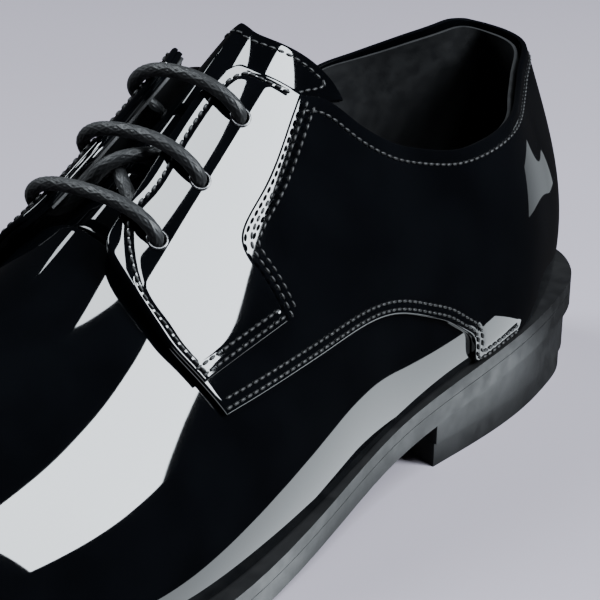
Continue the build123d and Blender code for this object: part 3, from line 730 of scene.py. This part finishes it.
def tongue_seam(distance):
    """Seam round the free edge of the tongue, a few millimetres in."""
    rib = np.linalg.norm(foot(1, 6.3, 0.75) - foot(1, 6.3, 0.85)) / 0.1
    station = np.linalg.norm(foot(1, 6.5, 0.8) - foot(1, 6.6, 0.8)) / 0.1
    inner, back = distance / rib / tongue_half(1), distance / station / 2
    up, over = np.linspace(0.3, 1 - back, 160), np.linspace(inner / 2, 1 - inner / 2, 200)
    u = np.concatenate([up, np.full(200, 1 - back), up[::-1]])
    v = np.concatenate([np.full(160, inner / 2), over, np.full(160, 1 - inner / 2)])
    return [tongue_place(u, v)]


tongue_lines = []
for side, s, h in tongue_seam(3.0):
    points = skin(side, s, h, np.full(s.shape, TONGUE_OUT))
    tongue_lines.append((points, outward(side, s, h)))

# %% [markdown]
# ## Stitches
#
# A row of stitches is one short rounded thread repeated at an even pitch along a seam. That is
# work for Geometry Nodes: the seam is a polyline that carries its outward direction, the tree
# resamples it at the pitch, and puts a capsule on each point, turned along the seam.
# Modelling each stitch by hand would give thousands of objects to keep in step.

# %% Stitch tree
def stitch_tree(name, material):
    """Seam polyline in, row of stitches out."""
    tree = bpy.data.node_groups.new(name, "GeometryNodeTree")
    face = tree.interface
    face.new_socket("Geometry", in_out="INPUT", socket_type="NodeSocketGeometry")
    sizes = {"Pitch": 0.0021, "Stitch Length": 0.0017, "Thread Width": 0.00072, "Slant": 0.10}
    for label, value in sizes.items():
        face.new_socket(label, in_out="INPUT", socket_type="NodeSocketFloat").default_value = value
    face.new_socket("Seed", in_out="INPUT", socket_type="NodeSocketInt").default_value = 7
    face.new_socket("Geometry", in_out="OUTPUT", socket_type="NodeSocketGeometry")
    add, link = tree.nodes.new, tree.links.new
    inputs, outputs = add("NodeGroupInput"), add("NodeGroupOutput")

    curve = add("GeometryNodeMeshToCurve")
    link(inputs.outputs["Geometry"], curve.inputs["Mesh"])
    resample = add("GeometryNodeResampleCurve")
    resample.mode = "LENGTH"
    link(curve.outputs["Curve"], resample.inputs["Curve"])
    link(inputs.outputs["Pitch"], resample.inputs["Length"])

    capsule = add("GeometryNodeMeshUVSphere")
    capsule.inputs["Segments"].default_value = 8
    capsule.inputs["Rings"].default_value = 6
    capsule.inputs["Radius"].default_value = 0.5
    size = add("ShaderNodeCombineXYZ")
    link(inputs.outputs["Thread Width"], size.inputs["X"])
    link(inputs.outputs["Thread Width"], size.inputs["Y"])
    link(inputs.outputs["Stitch Length"], size.inputs["Z"])

    tangent, away = add("GeometryNodeInputTangent"), add("GeometryNodeInputNamedAttribute")
    away.data_type = "FLOAT_VECTOR"
    away.inputs["Name"].default_value = "away"
    turn = add("FunctionNodeAxesToRotation")
    turn.primary_axis, turn.secondary_axis = "Z", "X"
    link(tangent.outputs["Tangent"], turn.inputs["Primary Axis"])
    link(away.outputs["Attribute"], turn.inputs["Secondary Axis"])
    wobble = add("FunctionNodeRandomValue")
    wobble.data_type = "FLOAT"
    slant_low = add("ShaderNodeMath")
    slant_low.operation = "MULTIPLY"
    slant_low.inputs[1].default_value = 0.5
    link(inputs.outputs["Slant"], slant_low.inputs[0])
    link(slant_low.outputs[0], wobble.inputs[2])
    link(inputs.outputs["Slant"], wobble.inputs[3])
    link(inputs.outputs["Seed"], wobble.inputs["Seed"])
    tilt_axes = add("ShaderNodeCombineXYZ")
    link(wobble.outputs[1], tilt_axes.inputs["X"])
    tilt = add("FunctionNodeEulerToRotation")
    link(tilt_axes.outputs[0], tilt.inputs["Euler"])
    rotate = add("FunctionNodeRotateRotation")
    rotate.rotation_space = "LOCAL"
    link(turn.outputs["Rotation"], rotate.inputs["Rotation"])
    link(tilt.outputs["Rotation"], rotate.inputs["Rotate By"])

    place = add("GeometryNodeInstanceOnPoints")
    link(resample.outputs["Curve"], place.inputs["Points"])
    link(capsule.outputs["Mesh"], place.inputs["Instance"])
    link(rotate.outputs["Rotation"], place.inputs["Rotation"])
    link(size.outputs[0], place.inputs["Scale"])
    real, paint = add("GeometryNodeRealizeInstances"), add("GeometryNodeSetMaterial")
    paint.inputs["Material"].default_value = material
    link(place.outputs["Instances"], real.inputs["Geometry"])
    link(real.outputs["Geometry"], paint.inputs["Geometry"])
    link(paint.outputs["Geometry"], outputs.inputs["Geometry"])
    return tree


stitch_nodes = stitch_tree("stitches", thread_black)


def sew(name, lines, body, slot, lift=0.02, tree=stitch_nodes, **sizes):
    """Rows of stitches along several seam lines, as one plain mesh."""
    points, links, directions = [], [], []
    for line, away in lines:
        start = len(points)
        points += list(line + away * lift)
        directions += list(away)
        links += [(start + i, start + i + 1) for i in range(len(line) - 1)]
    mesh = bpy.data.meshes.new(name)
    mesh.from_pydata(to_metres(points).tolist(), links, [])
    stored = mesh.attributes.new("away", "FLOAT_VECTOR", "POINT")
    stored.data.foreach_set("vector", np.array(directions, float).ravel())
    row = bpy.data.objects.new(name, mesh)
    bpy.context.scene.collection.objects.link(row)
    maker = row.modifiers.new("stitches", "NODES")
    maker.node_group = tree
    for item in tree.interface.items_tree:
        if item.in_out == "INPUT" and item.name in sizes:
            maker[item.identifier] = sizes[item.name]
    shape = bpy.context.evaluated_depsgraph_get()
    plain = bpy.data.meshes.new_from_object(row.evaluated_get(shape))
    row.modifiers.remove(maker)
    row.data = plain
    for polygon in plain.polygons:
        polygon.use_smooth = True
    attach(row, body)
    print(name, len(plain.polygons), "faces")
    return row


for word, wanted in (("lateral", 1), ("medial", -1)):
    sew("stitches_" + word, [(points, away) for side, points, away in stitched if side == wanted],
        "upper", "patent_leather", lift=0.02)
sew("stitches_tongue", tongue_lines, "tongue", "tongue_leather")

# %% [markdown]
# ## Eyelets
#
# Each eyelet is a short tube whose outside end is rolled over into a rim. A lathe profile
# turned about its axis gives the roll that a plain ring would lack.

# %% Eyelets
BORE, BARREL, RIM = 1.8, 2.0, 2.4


def lathe(work, profile, place, segments=48):
    rings = []
    for radius, height in profile:
        ring = [work.verts.new(place @ Vector((radius * math.cos(a) / 1000, radius * math.sin(a) / 1000, height / 1000)))
                for a in np.linspace(0, 2 * math.pi, segments, endpoint=False)]
        rings.append(ring)
    for lower, upper in zip(rings, rings[1:] + rings[:1]):
        for i in range(segments):
            j = (i + 1) % segments
            work.faces.new((lower[i], lower[j], upper[j], upper[i]))


def eyelet_profile():
    roll = [(BORE + 0.3 + 0.3 * math.cos(a), 0.17 + 0.18 * math.sin(a)) for a in np.linspace(math.pi, -0.4, 12)]
    return [(BORE, -3.2)] + roll + [(BARREL, 0.02), (BARREL, -3.2)]


eyelet_metal, tree, shader = new_material("eyelet_enamel", 0.25, coat=0.8, coat_roughness=0.08)
tree.links.new(ramp(tree, noise(tree, 500, 3), (0.010, 0.010, 0.011), (0.022, 0.022, 0.024)), shader.inputs["Base Color"])
tree.links.new(bump(tree, noise(tree, 1500, 2), 0.1, 0.00003), shader.inputs["Normal"])
for side, word in ((1, "lateral"), (-1, "medial")):
    work = bmesh.new()
    for s, h in zip(EYELET_S, EYELET_H[side]):
        lathe(work, eyelet_profile(), eyelet_frame(side, s, h))
    mesh = bpy.data.meshes.new("eyelet_rims_" + word)
    work.to_mesh(mesh)
    work.free()
    dress(finish_mesh("eyelet_rims_" + word, mesh), eyelet_metal, "upper", "eyelet_enamel", "eyelets_" + word)

# %% [markdown]
# ## Lace
#
# One round braided lace goes through all six eyelets. Its route is a list of points on the foot shape, given below
# and read as a smooth NURBS curve, and the braid is real relief: two families of strands that wind round the core
# opposite ways and pass over and under each other.
# A bevelled curve would be quicker, but it can only make a plain tube.

# %% Lace route
RIM_HEIGHT = 0.3
LACE_UNDER = (TONGUE_OUT + float(lining_in(5.45, 0.8))) / 2 - 0.05
BESIDE_TONGUE = 2.6
RIDGE_UNDER = LACE_UNDER + 0.7
LACE_CROSS = RIDGE_UNDER + LACE + 1.2
EDGE_UNDER = LACE_UNDER + 0.25
INSIDE = float(lining_in(7.0, 0.5)) - LACE / 2 - 0.35


def bar(side, number):
    """One bar with the passages through its two eyelets."""
    s = EYELET_S[number]
    ends = []
    for here in (side, -side):
        h, rim = EYELET_H[here][number], lacing_h(here, s)
        over_rim = float(facing_out(s, h)) + RIM_HEIGHT + LACE / 2 + 0.55
        over_edge = float(facing_out(s, rim)) + LACE / 2 + 0.65
        ends.append([(here, s, h, LACE_UNDER), (here, s, h, over_rim), (here, s, rim, over_edge)])
    return ends[0] + ends[1][::-1]


def tucked_end(side, first):
    return [(side, *spot) for spot in first + [(6.35, 0.655, 1.8), (6.75, 0.59, INSIDE - 0.6), (7.3, 0.47, INSIDE - 1.6)]]


def under_edge(side, s):
    return (side, s, lacing_h(side, s), EDGE_UNDER)


def lace_route():
    low, middle, top = EYELET_S
    cross = (low + middle) / 2
    spots = tucked_end(1, [(5.60, 0.745, 3.25), (5.71, 0.70, 2.75), (6.05, 0.69, BESIDE_TONGUE)])[::-1]
    spots += bar(1, 1)
    half = (RIDGE_UNDER + EDGE_UNDER) / 2
    spots += [under_edge(-1, cross + 0.13), (-1, cross + 0.065, 0.935, half), (1, cross, 1, RIDGE_UNDER),
              (1, cross - 0.065, 0.935, half), under_edge(1, cross - 0.13)]
    spots += bar(1, 0)
    spots += [under_edge(-1, cross - 0.13), (1, cross, 1, LACE_CROSS), under_edge(1, cross + 0.3)]
    spots += bar(1, 2)
    spots += tucked_end(-1, [(6.05, 0.75, LACE_UNDER), (6.17, 0.69, BESIDE_TONGUE)])
    side, s, h, offset = (np.array(row, float) for row in zip(*spots))
    return skin(side, s, h, offset)


def nurbs_line(points, order=3, resolution=14):
    """A smooth line with the points as its control points, read back as plain points."""
    curve = bpy.data.curves.new("route", "CURVE")
    curve.dimensions, curve.resolution_u = "3D", resolution
    line = curve.splines.new("NURBS")
    line.points.add(len(points) - 1)
    for point, place in zip(line.points, to_metres(points)):
        point.co = (*place, 1)
    line.order_u, line.use_endpoint_u = order, True
    carrier = bpy.data.objects.new("route", curve)
    bpy.context.scene.collection.objects.link(carrier)
    mesh = bpy.data.meshes.new_from_object(carrier.evaluated_get(bpy.context.evaluated_depsgraph_get()))
    places = np.array([vertex.co[:] for vertex in mesh.vertices])
    bpy.data.objects.remove(carrier)
    return places


def even_steps(places, step):
    lengths = np.concatenate([[0], np.cumsum(np.linalg.norm(np.diff(places, axis=0), axis=1))])
    wanted = np.linspace(0, lengths[-1], int(lengths[-1] / step) + 1)
    return np.stack([np.interp(wanted, lengths, places[:, i]) for i in range(3)], 1), wanted


def braided_tube(name, places, diameter, strands=12, lay=0.0048, relief=0.13, sides=48):
    """A tube whose surface is a braid. Metres."""
    line, lengths = even_steps(places, 0.00024)
    tangent = unit(np.gradient(line, axis=0))
    across = unit(np.cross(tangent[0], (0.3, 0.2, 1.0)))
    frames = []
    for direction in tangent:
        across = unit(across - direction * (across @ direction))
        frames.append((across, np.cross(direction, across)))
    first, second = np.array([f[0] for f in frames]), np.array([f[1] for f in frames])
    angle = np.linspace(0, 2 * np.pi, sides, endpoint=False)
    half = strands / 2
    along = 2 * np.pi * lengths[:, None] / lay
    one = np.cos(half * angle[None] + along)
    other = np.cos(half * angle[None] - along)
    over = np.cos(half * angle[None]) * np.cos(along)
    weave = np.where(over > 0, np.abs(one), np.abs(other))
    radius = diameter / 2 * (1 - relief * (1 - weave**0.7))
    points = (line[:, None] + radius[..., None] * (first[:, None] * np.cos(angle)[None, :, None]
                                                   + second[:, None] * np.sin(angle)[None, :, None]))
    count = len(line)
    number = np.arange(count * sides).reshape(count, sides)
    right = np.roll(number, -1, axis=1)
    faces = np.stack([number[:-1], number[1:], right[1:], right[:-1]], -1).reshape(-1, 4).tolist()
    faces += [number[0].tolist()[::-1], number[-1].tolist()]
    mesh = bpy.data.meshes.new(name)
    mesh.from_pydata(points.reshape(-1, 3).tolist(), [], faces)
    return finish_mesh(name, mesh, sharp=80)


lace_cotton = matte("lace_cotton", (0.003, 0.0034, 0.004), (0.0062, 0.0068, 0.0078), 0.5, 5200, 0.5, sheen=0.08)
route = nurbs_line(lace_route())
lace = braided_tube("lace_braid", route, LACE / 1000)
dress(lace, lace_cotton, "upper", "lace_cotton", "lace")
print("lace line length, mm:", round(float(np.linalg.norm(np.diff(route, axis=0), axis=1).sum()) * 1000, 1))

# %% [markdown]
# ## Parts that keep their CAD shape
#
# The sole, heel and hidden stiffeners have the right shape already, so each only gets its finish; the welt and
# outsole get a darker copy of the heel's edge finish, which is painted shade from the upper's overhang. Their meshes
# are left alone.

# %% Finishes for the CAD parts
lace_tip, tree, shader = new_material("lace_tip", 0.3, coat=0.5)
tree.links.new(ramp(tree, noise(tree, 300), (0.012, 0.012, 0.013), (0.02, 0.02, 0.021)), shader.inputs["Base Color"])
steel, tree, shader = new_material("steel", 0.35)
shader.inputs["Metallic"].default_value = 1.0
tree.links.new(ramp(tree, noise(tree, 300, stretch=(1, 30, 30)), grey(0.35), grey(0.55)), shader.inputs["Base Color"])
# The welt and outsole take the darker, painted-shade copy of the edge finish; the heel parts take the plain one.
CAD_FINISH = {
    "welt": sole_edge, "outsole": sole_edge, "heel_block": heel_edge, "heel_top_piece": heel_edge,
    "insole": board, "cork_filler": cork, "toe_puff": canvas, "heel_counter": canvas,
    "sock_lining": lining_leather, "shank": steel, "heel_nails": steel, "lace_tips": lace_tip,
}
for name, material in CAD_FINISH.items():
    nodes[name].data.materials.clear()
    nodes[name].data.materials.append(material)
print("finished CAD parts:", ", ".join(CAD_FINISH))

# %% [markdown]
# ## Floor and light
#
# Gloss black leather shows the room rather than itself. Large soft lamps give it long pale
# shapes with clean borders. The whole floor would make the sides grey, so the gloss does not see
# it; two pale cards under it give the light band along the foot of the upper and at the heel.

# %% Floor and light
FLOOR_SIZE = 4.0
floor_mesh = bpy.data.meshes.new("floor")
half = FLOOR_SIZE / 2
floor_mesh.from_pydata([(-half, -half, 0), (half, -half, 0), (half, half, 0), (-half, half, 0)], [], [(0, 1, 2, 3)])
floor = bpy.data.objects.new("floor", floor_mesh)
bpy.context.scene.collection.objects.link(floor)
floor_paint, tree, shader = new_material("floor_paint", 0.6)
tree.links.new(ramp(tree, noise(tree, 2, 2), (0.385, 0.35, 0.40), (0.405, 0.37, 0.42)), shader.inputs["Base Color"])
floor.data.materials.append(floor_paint)
floor.visible_glossy = False


def floor_card(name, x_range, y_range, glow):
    """A pale strip just under the floor, which only the gloss sees. Foot-shape millimetres."""
    mesh = bpy.data.meshes.new(name)
    corners = [(x, y, -3.0) for x, y in ((x_range[0], y_range[0]), (x_range[1], y_range[0]),
                                        (x_range[1], y_range[1]), (x_range[0], y_range[1]))]
    mesh.from_pydata(to_metres(corners).tolist(), [], [(0, 1, 2, 3)])
    card = bpy.data.objects.new(name, mesh)
    bpy.context.scene.collection.objects.link(card)
    paint, tree, shader = new_material(name, 0.9)
    shader.inputs["Base Color"].default_value = (0, 0, 0, 1)
    shader.inputs["Emission Color"].default_value = (0.86, 0.94, 1.0, 1)
    shader.inputs["Emission Strength"].default_value = glow
    mesh.materials.append(paint)
    card.visible_camera = card.visible_diffuse = card.visible_shadow = False


floor_card("near_card", (-10, 330), (50, 82), 4.0)
floor_card("heel_card", (-420, -210), (-20, 90), 0.6)

WORLD_LIGHT = 0.03
world = bpy.data.worlds.new("studio")
bpy.context.scene.world = world
world.use_nodes = True
world.node_tree.nodes["Background"].inputs["Color"].default_value = (0.80, 0.79, 0.86, 1)
world.node_tree.nodes["Background"].inputs["Strength"].default_value = WORLD_LIGHT


def lamp(name, at, towards, width, height, power):
    light = bpy.data.lights.new(name, "AREA")
    light.shape, light.size, light.size_y, light.energy = "RECTANGLE", width, height, power
    light.color = (0.87, 0.94, 1.0)
    holder = bpy.data.objects.new(name, light)
    bpy.context.scene.collection.objects.link(holder)
    direction = Vector(towards) - Vector(at)
    holder.matrix_world = Matrix.Translation(Vector(at)) @ direction.to_track_quat("-Z", "Y").to_matrix().to_4x4()
    return holder


def lamp_towards(name, turn, rise, distance, width, height, power):
    """A soft box seen from the middle of the lacing at a bearing and a rise, in degrees."""
    turn, rise = math.radians(turn), math.radians(rise)
    centre = Vector((0.03, 0.03, 0.06))
    away = Vector((math.cos(rise) * math.cos(turn), math.cos(rise) * math.sin(turn), math.sin(rise)))
    return lamp(name, centre + away * distance, centre, width, height, power)


lamp_towards("soft_box", 113, 34, 1.5, 0.50, 0.86, 56)
lamp_towards("top_box", 90, 66, 1.5, 0.26, 0.70, 18)
lamp_towards("fill", -65, 50, 1.5, 0.7, 0.7, 24)
